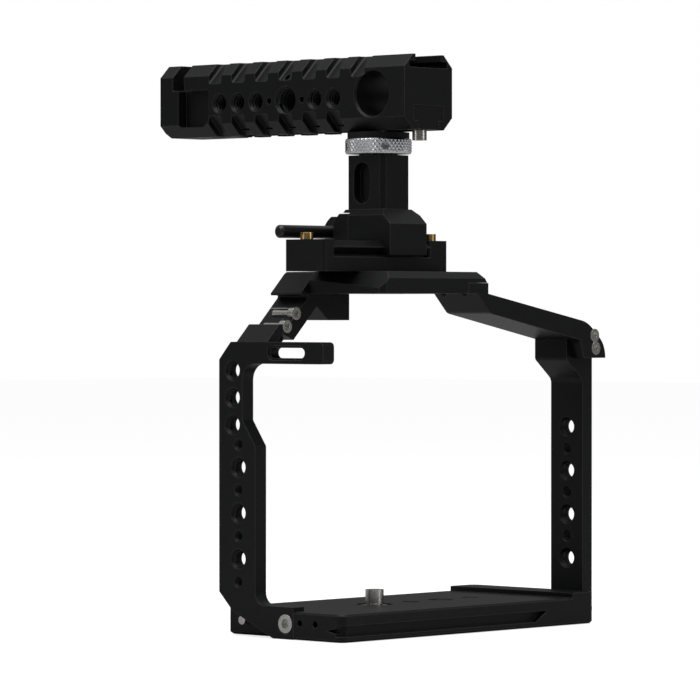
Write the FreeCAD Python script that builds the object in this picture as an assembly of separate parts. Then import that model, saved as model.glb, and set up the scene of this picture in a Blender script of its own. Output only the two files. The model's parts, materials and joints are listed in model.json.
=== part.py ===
import FreeCAD, Part
import math
import os

os.makedirs("parts", exist_ok=True)

# A camera cage: a base plate, a C-shaped left side, a top plate with two shoulders and a right arm
# round the camera, and a top handle on a sliding rail clamp.
# Millimetres. Origin: mouth of the tripod thread on the underside of the base. +Y is where the lens
# points, +X is the camera's right-hand side, +Z is up.

# Base plate
BASE_LENGTH = 127.0
BASE_DEPTH = 56.5
BASE_THICK = 9.2
BASE_CORNER_R = 3.0
LIP_LENGTH = 12.0
LIP_HEIGHT = 1.7
GROOVE_DEPTH = 2.2
GROOVE_LOW = 1.9
GROOVE_HIGH = 5.5
GROOVE_RIGHT_X = 38.0
GROOVE_SLANT = 5.8
GROOVE_TIP_Y = -21.0

# Threaded and plain holes
QUARTER_R = 2.55
QUARTER_CHAMFER = 0.9
THREE_EIGHTS_R = 4.0
SMALL_HOLE_R = 1.5
SMALL_CHAMFER = 0.5
HOLE_PITCH = 15.2

# Left side plate
SIDE_THICK = 5.2
ARM_WIDTH = 16.8
SIDE_TOP = 97.5
BAR_HEIGHT = 7.2
BAR_REAR_Y = -19.6
FOOT_REAR_Y = -6.0
FOOT_HEIGHT = 10.6
NECK_WIDTH = 10.8
NECK_LOW = 71.5
NECK_SLANT = 8.5
ARM_CUT_LOW = 14.4
FIRST_SMALL_Z = 17.9
ARM_HOLE_INSET = 8.9
UPPER_HOLE_INSET = 6.2
UPPER_PITCH = 9.0
STRAP_SLOT_LENGTH = 15.6
STRAP_SLOT_HEIGHT = 3.4
STRAP_SLOT_Y = -2.8

# Left shoulder with the sloping accessory shoe
SHOULDER_REAR_Y = 6.0
SHOULDER_FRONT_Y = 20.0
LOWER_LIP_RISE = 5.8
LIP_STEP = 4.8
UPPER_LIP_LOW = 112.9
SLAB_ACROSS = 7.2
TONGUE_TOP = 108.6
CHEEK_THICK = 4.6
BOSS_LOW = 104.6
BOSS_RIGHT_X = -24.0

# Top plate
TOP_THICK = 7.3
TOP_SURFACE = 120.8
TOP_LEFT_X = -43.5
TOP_RIGHT_X = 8.5
TOP_REAR_Y = -27.6
TOP_FRONT_Y = 20.0
TOP_SEAM_X = -38.0

# Right shoulder and arm
SHOULDER_DROP_X = 60.0
SHOULDER_DROP_Z = 103.9
SHOULDER_END_X = 69.5
SHOULDER_END_LOW = 91.5
SHOULDER_SLAB = 6.6
LAP_LENGTH = 10.0
LAP_ROOT = 5.5
RIGHT_FRONT_Y = -8.0
RIGHT_CHEEK = 5.2
RIGHT_ARM_THICK = 5.0
RIGHT_ARM_REAR_Y = -24.0

# Rail on top and the clamp that grips it
RAIL_LEFT_X = -57.0
RAIL_LENGTH = 60.5
RAIL_HALF = 9.0
RAIL_Y = -4.75
RAIL_BASE = 4.8
RAIL_NECK_HALF = 6.6
RAIL_TOP = 131.0
LEFT_BLOCK = 5.6
RIGHT_BLOCK = 9.5
STOP_SCREW_R = 2.15
STOP_HEAD = 2.3

POST_X = -18.5
POST_Y = -2.25
POST_HALF_X = 7.0
POST_HALF_Y = 8.6
POST_TOP = 159.8
CLAMP_HALF_X = 9.0
CLAMP_LOW = 126.4
CLAMP_REAR = 13.7
CLAMP_SPLIT = 5.5
JAW_FRONT = 12.2
FLARE_LOW = 136.8
FLARE_HIGH = 141.7
JAW_TOP = 140.3
SCREW_Z = 134.2
SCREW_R = 2.0
GUIDE_R = 1.25
GUIDE_SPREAD = 6.2
GUIDE_Z = 137.2
HUB_R = 5.8
HUB_LENGTH = 8.6
LEVER_R = 2.2
LEVER_REACH = 31.0

# Lock ring, washer and stud between the post and the handle
RING_R = 11.25
RING_HEIGHT = 5.0
RING_HOLE_R = 1.25
RING_HOLES = 6
COLLAR_R = 6.5
STUD_R = 3.0
WASHER_R = 10.4
WASHER_HEIGHT = 2.1
TEE_LENGTH = 12.0
TEE_WIDTH = 14.0
TEE_HEIGHT = 1.7

# Handle
HANDLE_REAR_Y = -24.9
HANDLE_LENGTH = 115.4
HANDLE_WIDTH = 23.5
HANDLE_LOW = 167.8
HANDLE_HEIGHT = 25.0
HANDLE_CHAMFER = 4.2
SLOT_MOUTH_WIDTH = 10.0
SLOT_MOUTH_HEIGHT = 1.9
SLOT_WIDE_WIDTH = 14.5
SLOT_WIDE_HEIGHT = 2.0
SLOT_FRONT_Y = 62.0
PLUG_LENGTH = 6.6
PLUG_MOUTH_HEIGHT = 3.0
PLUG_TOTAL_HEIGHT = 8.1
STOP_Y = 4.0
ROD_R = 7.5
ROD_Y = -10.0
ROD_UP = 12.2
GRIP_NOTCHES = 7
GRIP_PITCH = 11.2
GRIP_FIRST_Y = -7.0
GRIP_WIDTH = 5.8
GRIP_DEPTH = 2.0
SIDE_HOLES_Y = (7.7, 16.4, 44.0, 52.8, 61.5)
BIG_HOLE_Y = 29.9
PIN_HOLE_SPREAD = 7.7
SHOE_WIDTH = 18.6
SHOE_MOUTH = 12.6
SHOE_SLOT = 2.2
SHOE_LIP = 2.2
SHOE_DEPTH = 14.0
FRONT_NOTCH_Y = 78.8
FRONT_NOTCH_WIDTH = 5.5
FRONT_NOTCH_DEPTH = 9.0
SIDE_POCKET_DEPTH = 5.0

# Camera screw in the base
CAMERA_SCREW_X = -18.0
CAMERA_SCREW_Y = 0.0
CAMERA_SCREW_R = 3.1
CAMERA_HEAD_R = 6.2
CAMERA_HEAD = 3.0
CAMERA_SCREW_REACH = 5.0
CAMERA_GROOVE = 1.7
CAMERA_GROOVE_R = 2.6

# Fits between pieces
SEAM = 0.05
RUNNING = 0.06
SLIDE_GAP = 0.15
SEAT_GAP = 0.3

LEFT_X = -BASE_LENGTH / 2
RIGHT_X = BASE_LENGTH / 2
REAR_Y = -BASE_DEPTH / 2
FRONT_Y = BASE_DEPTH / 2
SIDE_INNER_X = LEFT_X + SIDE_THICK
TOP_LOW = TOP_SURFACE - TOP_THICK
LAP_X = TOP_RIGHT_X - LAP_LENGTH
LAP_Z = TOP_LOW + TOP_THICK / 2
LIP_START_X = RIGHT_X - LIP_LENGTH
HANDLE_X = POST_X
HANDLE_HALF = HANDLE_WIDTH / 2
HANDLE_TOP = HANDLE_LOW + HANDLE_HEIGHT
ROD_Z = HANDLE_LOW + ROD_UP
BEYOND = 1.0


def at(plane, across, up, along):
    """A point of an outline drawn square to the X, Y or Z axis."""
    if plane == "x":
        return FreeCAD.Vector(along, across, up)
    if plane == "y":
        return FreeCAD.Vector(across, along, up)
    return FreeCAD.Vector(across, up, along)


def corner_arc(before, point, after, radius):
    """The two tangent points and the middle of a round corner."""
    a = (before - point).normalize()
    b = (after - point).normalize()
    half = a.getAngle(b) / 2
    reach = radius / math.tan(half)
    middle = (a + b).normalize()
    centre = point + middle * (radius / math.sin(half))
    return point + a * reach, centre - middle * radius, point + b * reach


def outline_wire(plane, points, along):
    """A closed outline; a point with a third value has a round corner of that radius."""
    spots = [at(plane, p[0], p[1], along) for p in points]
    radii = [p[2] if len(p) > 2 else 0 for p in points]
    edges = []
    first = None
    last = None
    for i, spot in enumerate(spots):
        if radii[i]:
            start, middle, end = corner_arc(spots[i - 1], spot, spots[(i + 1) % len(spots)], radii[i])
            arc = Part.Arc(start, middle, end).toShape()
        else:
            start, end, arc = spot, spot, None
        if last is not None and (start - last).Length > 1e-6:
            edges.append(Part.makeLine(last, start))
        if arc is not None:
            edges.append(arc)
        if first is None:
            first = start
        last = end
    edges.append(Part.makeLine(last, first))
    return Part.Wire(edges)


def prism(plane, points, low, high):
    """A straight solid of one outline between two levels along the plane's axis."""
    face = Part.Face(outline_wire(plane, points, low))
    return face.extrude(at(plane, 0, 0, high - low))


def box(low, high):
    size = [high[i] - low[i] for i in range(3)]
    return Part.makeBox(size[0], size[1], size[2], FreeCAD.Vector(*low))


def rod(plane, across, up, low, high, radius):
    """A round bar along the plane's axis."""
    return Part.makeCylinder(radius, high - low, at(plane, across, up, low), at(plane, 0, 0, 1))


def cone(plane, across, up, low, high, radius_low, radius_high):
    return Part.makeCone(radius_low, radius_high, high - low, at(plane, across, up, low), at(plane, 0, 0, 1))


def joined(shapes):
    """One solid of several that touch or overlap."""
    whole = shapes[0].multiFuse(shapes[1:]) if len(shapes) > 1 else shapes[0]
    return whole.removeSplitter()


def cut(shape, tools):
    return shape.cut(tools) if tools else shape


def chamfered_hole(plane, across, up, low, high, radius, chamfer):
    """The space of a through hole whose two mouths are chamfered."""
    wide = radius + chamfer + BEYOND
    bore = rod(plane, across, up, low - BEYOND, high + BEYOND, radius)
    bottom = cone(plane, across, up, low - BEYOND, low + chamfer, wide, radius)
    top = cone(plane, across, up, high - chamfer, high + BEYOND, radius, wide)
    return joined([bore, bottom, top])


def pill(plane, across, up, low, high, length, height):
    """The space of a slot with round ends, lying along the plane's first direction."""
    a, b, r = length / 2, height / 2, height / 2 * 0.999
    points = [(across - a, up - b, r), (across + a, up - b, r), (across + a, up + b, r), (across - a, up + b, r)]
    return prism(plane, points, low, high)


def chamfered_edges(shape, size, wanted):
    """Chamfer the straight edges that the test picks."""
    edges = [e for e in shape.Edges if e.Curve.TypeId == "Part::GeomLine" and wanted(e)]
    return shape.makeChamfer(size, edges) if edges else shape


def socket_screw(plane, across, up, head_end, direction, head_r, head_long, shank_r, shank_long, socket_r):
    """A cap screw whose head ends at head_end and whose shank runs in the given direction, 1 or -1."""
    under = head_end + direction * head_long
    tip = under + direction * shank_long
    floor = head_end + direction * head_long * 0.55
    mouth = head_end - direction * BEYOND
    head = rod(plane, across, up, min(head_end, under), max(head_end, under), head_r)
    shank = rod(plane, across, up, min(under, tip), max(under, tip), shank_r)
    corners = [(across + socket_r * math.cos(math.radians(60 * i)), up + socket_r * math.sin(math.radians(60 * i)))
               for i in range(6)]
    socket = prism(plane, corners, min(mouth, floor), max(mouth, floor))
    return joined([head, shank]).cut(socket)


def save(name, shapes):
    """Write one sub-part; a group of loose solids stays a group."""
    shape = shapes[0] if len(shapes) == 1 else Part.makeCompound(shapes)
    shape.exportStep("parts/" + name + ".step")
    print(name, len(shape.Solids), round(shape.Volume, 1), shape.isValid())


# Places shared by pieces that meet

FOOT_SCREW = {"y": -2.3, "z": BASE_THICK * 0.55, "head_r": 3.1, "head": 2.6, "shank_r": 1.6, "shank": 9.0}
FOOT_PINS_Y = (9.5, 20.5)
FOOT_PIN_Z = BASE_THICK * 0.55
FOOT_PIN_R = 1.5
SIDE_SCREWS = [(-53.8, 102.6), (-49.5, 106.9)]
SIDE_SCREW = {"head_r": 2.15, "head": 2.2, "shank_r": 1.2, "shank": 8.0}
ARM_BASE_SCREWS_Y = (-20.0, -12.0)
ARM_BASE_SCREW = {"head_r": 2.6, "head": 2.2, "shank_r": 1.5, "shank": 8.0}
ARM_TOP_SCREWS = [(64.0, 99.3), (64.6, 94.9)]
ARM_TOP_SCREW = {"head_r": 2.25, "head": 2.2, "shank_r": 1.2, "shank": 8.0}
STOP_SCREWS = [(-54.3, -3.4), (-1.6, -10.0)]
RAIL_SCREWS_X = (-34.0, -10.0)
RAIL_SCREW_R = 1.5
RAIL_SCREW_HEAD_R = 3.0
BOSS_SCREWS = [(-34.0, 13.0), (-28.0, 9.0)]
RIGHT_JOINT_SCREWS = [((LAP_X + TOP_RIGHT_X) / 2 - 1.3, y) for y in (-21.5, -12.0)]
RIGHT_JOINT_REACH = 5.2
PLATE_SCREW_R = 1.5
PLATE_SCREW_HEAD_R = 2.6
PLATE_SCREW_DEPTH = 6.0
PLATE_HEAD = 1.6
TRIPOD_HOLES = [(0.0, 0.0, QUARTER_R), (15.0, 0.0, THREE_EIGHTS_R), (30.0, 0.0, QUARTER_R)]
TOP_HOLES = [(-30.0, -20.8), (-18.5, -20.8), (-7.0, -20.8), (-17.0, 12.4), (-5.0, 12.4)]


def base_outline(inset):
    """The base seen from above, with a notch for the left foot, drawn in by an even amount."""
    left, right = LEFT_X + inset, RIGHT_X - inset
    rear, front = REAR_Y + inset, FRONT_Y - inset
    notch_x, notch_y = SIDE_INNER_X + SEAM + inset, FOOT_REAR_Y - SEAM - inset
    r = BASE_CORNER_R
    return [(left, rear, r), (right, rear, r), (right, front, r), (notch_x, front), (notch_x, notch_y),
            (left, notch_y)]


def base_groove():
    """The finger groove: a band cut in the rear face that runs round the left corner to a point."""
    ring = prism("z", base_outline(-BEYOND), GROOVE_LOW - BEYOND, GROOVE_HIGH + BEYOND)
    ring = ring.cut(prism("z", base_outline(GROOVE_DEPTH), GROOVE_LOW - 2 * BEYOND, GROOVE_HIGH + 2 * BEYOND))
    out_x, out_y = LEFT_X - 2 * BEYOND, REAR_Y - 2 * BEYOND
    rear = prism("y", [(out_x, GROOVE_LOW), (GROOVE_RIGHT_X - GROOVE_SLANT, GROOVE_LOW),
                       (GROOVE_RIGHT_X, GROOVE_HIGH), (out_x, GROOVE_HIGH)], out_y, REAR_Y + GROOVE_DEPTH + BEYOND)
    middle = (GROOVE_LOW + GROOVE_HIGH) / 2
    left = prism("x", [(out_y, GROOVE_LOW), (GROOVE_TIP_Y, middle), (out_y, GROOVE_HIGH)],
                 out_x, LEFT_X + GROOVE_DEPTH + BEYOND)
    return joined([ring.common(rear), ring.common(left)])


def base_plate():
    body = prism("z", base_outline(0), 0, BASE_THICK)
    lip_points = [(LIP_START_X, REAR_Y), (RIGHT_X, REAR_Y, BASE_CORNER_R), (RIGHT_X, FRONT_Y, BASE_CORNER_R),
                  (LIP_START_X, FRONT_Y)]
    body = joined([body, prism("z", lip_points, BASE_THICK, BASE_THICK + LIP_HEIGHT)])
    body = chamfered_edges(body, 0.8, lambda e: e.BoundBox.ZMax < 0.01 and e.Length > 20)
    body = chamfered_edges(body, 0.6, lambda e: e.BoundBox.ZMin > BASE_THICK - 0.01 and e.Length > 50
                           and e.BoundBox.YMax < REAR_Y + 0.01)
    tools = [base_groove()]
    for x, y, radius in TRIPOD_HOLES:
        tools.append(rod("z", x, y, -BEYOND, BASE_THICK + BEYOND, radius))
        tools.append(cone("z", x, y, BASE_THICK - QUARTER_CHAMFER, BASE_THICK + BEYOND, radius,
                          radius + QUARTER_CHAMFER + BEYOND))
    tools.append(rod("z", CAMERA_SCREW_X, CAMERA_SCREW_Y, -BEYOND, BASE_THICK + BEYOND, CAMERA_SCREW_R + RUNNING))
    tools.append(rod("z", CAMERA_SCREW_X, CAMERA_SCREW_Y, -BEYOND, CAMERA_HEAD + 2 * SEAT_GAP,
                     CAMERA_HEAD_R + SEAT_GAP))
    tools.append(rod("z", CAMERA_SCREW_X, CAMERA_SCREW_Y, BASE_THICK - 1.4, BASE_THICK + BEYOND, CAMERA_HEAD_R))
    for y in (-9.0, -16.0):
        tools.append(rod("x", y, BASE_THICK * 0.6, LEFT_X - BEYOND, LEFT_X + 3.0, 1.15))
    tools.append(rod("x", FOOT_SCREW["y"], FOOT_SCREW["z"], SIDE_INNER_X - BEYOND,
                     LEFT_X + FOOT_SCREW["head"] + FOOT_SCREW["shank"] + 1.5, FOOT_SCREW["shank_r"] + SEAM))
    for y in FOOT_PINS_Y:
        tools.append(rod("x", y, FOOT_PIN_Z, SIDE_INNER_X, SIDE_INNER_X + 5.0, FOOT_PIN_R + SEAM))
    for y in ARM_BASE_SCREWS_Y:
        tools.append(rod("x", y, BASE_THICK / 2, RIGHT_X - 8.0, RIGHT_X + BEYOND, ARM_BASE_SCREW["shank_r"] + SEAM))
    return cut(body, tools)


def side_outline():
    """The C of the left side seen from the left: foot, arm and a bar that reaches to the rear."""
    front = FRONT_Y
    rear = front - ARM_WIDTH
    neck = front - NECK_WIDTH
    bar_low = SIDE_TOP - BAR_HEIGHT
    return [(FOOT_REAR_Y, 0), (3.4, 0), (8.6, 2.4), (22.0, 8.2), (front, ARM_CUT_LOW), (front, 91.6, 1.0),
            (front - 5.4, SIDE_TOP, 1.0), (BAR_REAR_Y, SIDE_TOP, 1.6), (BAR_REAR_Y, bar_low, 1.6),
            (neck, bar_low, 5.6), (neck, NECK_LOW, 1.0), (rear, NECK_LOW - NECK_SLANT, 1.5),
            (rear, FOOT_HEIGHT, 4.0), (FOOT_REAR_Y, FOOT_HEIGHT)]


def left_tongue():
    """The part of the side plate that climbs inside the slope and carries the lower lip."""
    lip_x, lip_z = LEFT_X + LOWER_LIP_RISE, SIDE_TOP + LOWER_LIP_RISE
    floor_x = lip_x + LIP_STEP
    low_x = floor_x + SLAB_ACROSS - (lip_z - SIDE_TOP)
    top_x = floor_x + TONGUE_TOP - lip_z
    points = [(LEFT_X, SIDE_TOP - BEYOND), (LEFT_X, SIDE_TOP), (lip_x, lip_z), (floor_x, lip_z),
              (top_x, TONGUE_TOP), (top_x + SLAB_ACROSS, TONGUE_TOP), (low_x, SIDE_TOP),
              (SIDE_INNER_X, SIDE_TOP - SIDE_THICK), (SIDE_INNER_X, SIDE_TOP - SIDE_THICK - BEYOND)]
    tongue = prism("y", points, SHOULDER_REAR_Y + CHEEK_THICK + SEAM, SHOULDER_FRONT_Y)
    inner_x = floor_x - 2 * SEAM
    lug = [(LEFT_X, SIDE_TOP - BEYOND), (LEFT_X, SIDE_TOP), (lip_x, lip_z), (inner_x, lip_z),
           (inner_x - LOWER_LIP_RISE - BEYOND, SIDE_TOP - BEYOND)]
    return joined([tongue, prism("y", lug, SHOULDER_REAR_Y, SHOULDER_FRONT_Y)])


def side_holes():
    """Big and small threaded holes in turn up the arm, then three big ones at the top."""
    y = FRONT_Y - ARM_HOLE_INSET
    tools = []
    for i in range(4):
        tools.append(chamfered_hole("x", y, FIRST_SMALL_Z + i * HOLE_PITCH, LEFT_X, SIDE_INNER_X,
                                    SMALL_HOLE_R, SMALL_CHAMFER))
    for i in range(3):
        tools.append(chamfered_hole("x", y, FIRST_SMALL_Z + (i + 0.5) * HOLE_PITCH, LEFT_X, SIDE_INNER_X,
                                    QUARTER_R, QUARTER_CHAMFER))
        tools.append(chamfered_hole("x", FRONT_Y - UPPER_HOLE_INSET, NECK_LOW - 1.5 + i * UPPER_PITCH, LEFT_X,
                                    SIDE_INNER_X, QUARTER_R, QUARTER_CHAMFER))
    return tools


def left_side_plate():
    plate = prism("x", side_outline(), LEFT_X, SIDE_INNER_X)
    plate = joined([plate, left_tongue()])
    tools = side_holes()
    slot_z = SIDE_TOP - BAR_HEIGHT / 2
    tools.append(pill("x", STRAP_SLOT_Y, slot_z, LEFT_X - BEYOND, SIDE_INNER_X + BEYOND, STRAP_SLOT_LENGTH,
                      STRAP_SLOT_HEIGHT))
    for low, high in ((LEFT_X - BEYOND, LEFT_X + 0.7), (SIDE_INNER_X - 0.7, SIDE_INNER_X + BEYOND)):
        tools.append(pill("x", STRAP_SLOT_Y, slot_z, low, high, STRAP_SLOT_LENGTH + 1.4, STRAP_SLOT_HEIGHT + 1.4))
    tools.append(rod("x", FOOT_SCREW["y"], FOOT_SCREW["z"], LEFT_X - BEYOND, LEFT_X + FOOT_SCREW["head"] + SEAM,
                     FOOT_SCREW["head_r"] + SEAT_GAP))
    tools.append(rod("x", FOOT_SCREW["y"], FOOT_SCREW["z"], LEFT_X, SIDE_INNER_X + BEYOND,
                     FOOT_SCREW["shank_r"] + SEAM))
    for y in FOOT_PINS_Y:
        tools.append(rod("x", y, FOOT_PIN_Z, SIDE_INNER_X - 2.6, SIDE_INNER_X + BEYOND, FOOT_PIN_R + SEAM))
    seat_y = SHOULDER_REAR_Y + SIDE_SCREW["head"] + SEAM
    for x, z in SIDE_SCREWS:
        tools.append(rod("y", x, z, SHOULDER_REAR_Y - BEYOND, seat_y, SIDE_SCREW["head_r"] + SEAM))
        tools.append(rod("y", x, z, SHOULDER_REAR_Y, seat_y + SIDE_SCREW["shank"] + SEAM, SIDE_SCREW["shank_r"] + SEAM))
    return cut(plate, tools)


def left_shoulder():
    """The sloping slab with its upper lip, and the boss that is screwed under the top plate."""
    lip_x, lip_z = LEFT_X + LOWER_LIP_RISE, SIDE_TOP + LOWER_LIP_RISE
    floor_x = lip_x + LIP_STEP
    under_x = floor_x + SLAB_ACROSS
    slope_x = LEFT_X - SIDE_TOP
    high = TOP_SURFACE - 0.7
    end_x = TOP_SEAM_X - SEAM
    boss_top = TOP_LOW - SEAM
    points = [(floor_x - 3.2, lip_z - 3.2), (floor_x + UPPER_LIP_LOW - lip_z, UPPER_LIP_LOW, 0.5),
              (slope_x + UPPER_LIP_LOW, UPPER_LIP_LOW, 0.5), (slope_x + high, high, 0.5),
              (slope_x + high + 1.2, TOP_SURFACE), (end_x, TOP_SURFACE), (end_x, boss_top),
              (BOSS_RIGHT_X, boss_top), (BOSS_RIGHT_X, BOSS_LOW), (BOSS_RIGHT_X - 10.2, BOSS_LOW, 1.0),
              (under_x + 109.2 - lip_z, 109.2, 0.6), (under_x - 5.2, lip_z - 5.2)]
    slab = prism("y", points, SHOULDER_REAR_Y, SHOULDER_FRONT_Y)
    room = box((LEFT_X - BEYOND, SHOULDER_REAR_Y + CHEEK_THICK, SIDE_TOP - 8), (under_x + 20, FRONT_Y, TONGUE_TOP + SEAM))
    reach = box((LEFT_X - 2 * BEYOND, SHOULDER_REAR_Y, SIDE_TOP - 8), (BOSS_RIGHT_X - 15.6, FRONT_Y, TONGUE_TOP + SEAM))
    tools = [room.common(reach)]
    for x, z in SIDE_SCREWS:
        tools.append(rod("y", x, z, SHOULDER_REAR_Y - BEYOND, SHOULDER_REAR_Y + SIDE_SCREW["head"] + SEAM,
                         SIDE_SCREW["head_r"] + SEAM))
        tools.append(rod("y", x, z, SHOULDER_REAR_Y, SHOULDER_REAR_Y + CHEEK_THICK + BEYOND,
                         SIDE_SCREW["shank_r"] + SEAM))
    for x, y in BOSS_SCREWS:
        tools.append(rod("z", x, y, boss_top - PLATE_SCREW_DEPTH, boss_top + BEYOND, PLATE_SCREW_R + SEAM))
    return cut(slab, tools)


def top_bevel():
    """The facet on the left edge of the top plate, which widens towards the rear."""
    out = 6.0
    front_y, rear_y = SHOULDER_REAR_Y + BEYOND, TOP_REAR_Y - BEYOND
    profiles = []
    for y, drop, inset in ((front_y, 2.6, 2.6), (rear_y, 5.8, 4.6)):
        points = [(TOP_LEFT_X - out, TOP_SURFACE - drop - out * drop / inset), (TOP_LEFT_X + inset, TOP_SURFACE),
                  (TOP_LEFT_X + inset, TOP_SURFACE + out), (TOP_LEFT_X - out, TOP_SURFACE + out)]
        profiles.append(outline_wire("y", points, y))
    return Part.makeLoft(profiles, True, True)


def top_plate():
    corner = 1.8
    points = [(TOP_SEAM_X, TOP_FRONT_Y - 3), (TOP_SEAM_X, SHOULDER_REAR_Y - SEAM),
              (TOP_LEFT_X, SHOULDER_REAR_Y - SEAM), (TOP_LEFT_X, TOP_REAR_Y + corner),
              (TOP_LEFT_X + corner, TOP_REAR_Y), (TOP_RIGHT_X, TOP_REAR_Y), (TOP_RIGHT_X, TOP_FRONT_Y - 6),
              (TOP_RIGHT_X - 6, TOP_FRONT_Y), (TOP_SEAM_X + 3, TOP_FRONT_Y)]
    plate = prism("z", points, TOP_LOW, TOP_SURFACE)
    out = 3.0
    rear = prism("x", [(TOP_REAR_Y - out, TOP_SURFACE - 2.2 - out), (TOP_REAR_Y + 2.2, TOP_SURFACE),
                       (TOP_REAR_Y + 2.2, TOP_SURFACE + out), (TOP_REAR_Y - out, TOP_SURFACE + out)],
                 TOP_LEFT_X - BEYOND, TOP_RIGHT_X + BEYOND)
    right = prism("y", [(TOP_RIGHT_X - 3.4, TOP_SURFACE), (TOP_RIGHT_X, TOP_SURFACE - 4.3),
                        (TOP_RIGHT_X + out, TOP_SURFACE - 4.3), (TOP_RIGHT_X + out, TOP_SURFACE + out),
                        (TOP_RIGHT_X - 3.4, TOP_SURFACE + out)], TOP_REAR_Y - BEYOND, TOP_FRONT_Y + BEYOND)
    lap = box((LAP_X, TOP_REAR_Y - BEYOND, TOP_LOW - BEYOND), (TOP_RIGHT_X + BEYOND, RIGHT_FRONT_Y + SEAM, LAP_Z))
    tools = [top_bevel(), rear, right, lap]
    for x, y in TOP_HOLES:
        tools.append(chamfered_hole("z", x, y, TOP_LOW, TOP_SURFACE, QUARTER_R, QUARTER_CHAMFER))
    for x in RAIL_SCREWS_X:
        tools.append(rod("z", x, RAIL_Y, TOP_LOW - BEYOND, TOP_SURFACE + BEYOND, RAIL_SCREW_R + SEAM))
    for x, y in BOSS_SCREWS + RIGHT_JOINT_SCREWS:
        tools.append(rod("z", x, y, TOP_LOW - BEYOND, TOP_SURFACE + BEYOND, PLATE_SCREW_R + SEAM))
        tools.append(rod("z", x, y, TOP_SURFACE - PLATE_HEAD - SEAM, TOP_SURFACE + BEYOND, PLATE_SCREW_HEAD_R + SEAM))
    return cut(plate, tools)


def right_shoulder():
    """The arm of the top plate that slopes down to the right and turns down at its end."""
    lap_top = LAP_Z - SEAM
    end_x = SHOULDER_END_X
    points = [(LAP_X + SEAM, lap_top), (TOP_RIGHT_X, lap_top), (TOP_RIGHT_X, TOP_LOW),
              (SHOULDER_DROP_X, SHOULDER_DROP_Z, 12.0), (end_x, 96.0, 9.0), (end_x + 0.01, SHOULDER_END_LOW),
              (58.0, SHOULDER_END_LOW, 1.0), (56.5, SHOULDER_DROP_Z - SHOULDER_SLAB + 0.4, 3.0),
              (TOP_RIGHT_X + 1.0, TOP_LOW - SHOULDER_SLAB, 3.0), (TOP_RIGHT_X - LAP_ROOT, TOP_LOW),
              (LAP_X + SEAM, TOP_LOW)]
    slab = prism("y", points, TOP_REAR_Y, RIGHT_FRONT_Y)
    cheek_front = TOP_REAR_Y + RIGHT_CHEEK
    tools = [box((SHOULDER_DROP_X - 5.0, cheek_front, SHOULDER_END_LOW - BEYOND),
                 (end_x + 2 * BEYOND, RIGHT_FRONT_Y + BEYOND, SHOULDER_DROP_Z - SHOULDER_SLAB + 3.4))]
    for x, z in ARM_TOP_SCREWS:
        tools.append(rod("y", x, z, TOP_REAR_Y - BEYOND, TOP_REAR_Y + ARM_TOP_SCREW["head"] + SEAM,
                         ARM_TOP_SCREW["head_r"] + SEAM))
        tools.append(rod("y", x, z, TOP_REAR_Y, cheek_front + BEYOND, ARM_TOP_SCREW["shank_r"] + SEAM))
    for x, y in RIGHT_JOINT_SCREWS:
        tools.append(rod("z", x, y, TOP_LOW - BEYOND, lap_top + BEYOND, PLATE_SCREW_R + SEAM))
    return cut(slab, tools)


def right_arm():
    """The upright on the camera's right: screwed to the end of the base and to the right shoulder."""
    rear, front = TOP_REAR_Y + RIGHT_CHEEK + SEAM, RIGHT_FRONT_Y
    inner = RIGHT_X + SEAM
    outer = inner + RIGHT_ARM_THICK
    tongue_top = SHOULDER_DROP_Z - SHOULDER_SLAB + 3.4 - SEAM
    points = [(inner, 0), (outer, 0, 1.0), (outer, 96.0, 4.0), (outer - 6.0, tongue_top),
              (SHOULDER_DROP_X - 5.0, tongue_top), (SHOULDER_DROP_X - 5.0, 91.0, 1.5), (inner, 84.0, 3.0)]
    plate = prism("y", points, rear, front)
    tools = []
    for i in range(4):
        tools.append(chamfered_hole("x", (rear + front) / 2, 22.0 + i * HOLE_PITCH, inner, outer, QUARTER_R,
                                    QUARTER_CHAMFER))
    for i in range(3):
        tools.append(chamfered_hole("x", (rear + front) / 2, 22.0 + (i + 0.5) * HOLE_PITCH, inner, outer,
                                    SMALL_HOLE_R, SMALL_CHAMFER))
    for y in ARM_BASE_SCREWS_Y:
        tools.append(rod("x", y, BASE_THICK / 2, outer - ARM_BASE_SCREW["head"] - SEAM, outer + BEYOND,
                         ARM_BASE_SCREW["head_r"] + SEAM))
        tools.append(rod("x", y, BASE_THICK / 2, inner - BEYOND, outer, ARM_BASE_SCREW["shank_r"] + SEAM))
    for x, z in ARM_TOP_SCREWS:
        tools.append(rod("y", x, z, rear - BEYOND, rear + ARM_TOP_SCREW["shank"], ARM_TOP_SCREW["shank_r"] + SEAM))
    return cut(plate, tools)


def rail_section(grow):
    """The rail's neck and flange seen along its length, grown evenly for the clamp's pocket."""
    slant = grow * math.sqrt(2)
    shift = slant - grow
    base_top = TOP_SURFACE + RAIL_BASE
    neck = RAIL_NECK_HALF + grow
    full = RAIL_HALF + grow
    neck_z = base_top + 0.7 - shift
    wide_low = base_top + 0.7 + RAIL_HALF - RAIL_NECK_HALF - shift
    wide_high = wide_low + 2 * shift + 0.3
    bevel = RAIL_TOP - (wide_high - shift)
    top_half = RAIL_HALF - bevel + shift
    half = [(neck, neck_z), (full, wide_low), (full, wide_high), (top_half, RAIL_TOP + grow)]
    low = base_top - (BEYOND if grow else 0)
    right = [(RAIL_Y + neck, low)] + [(RAIL_Y + a, z) for a, z in half]
    left = [(RAIL_Y - a, z) for a, z in reversed(half)] + [(RAIL_Y - neck, low)]
    return right + left


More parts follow.
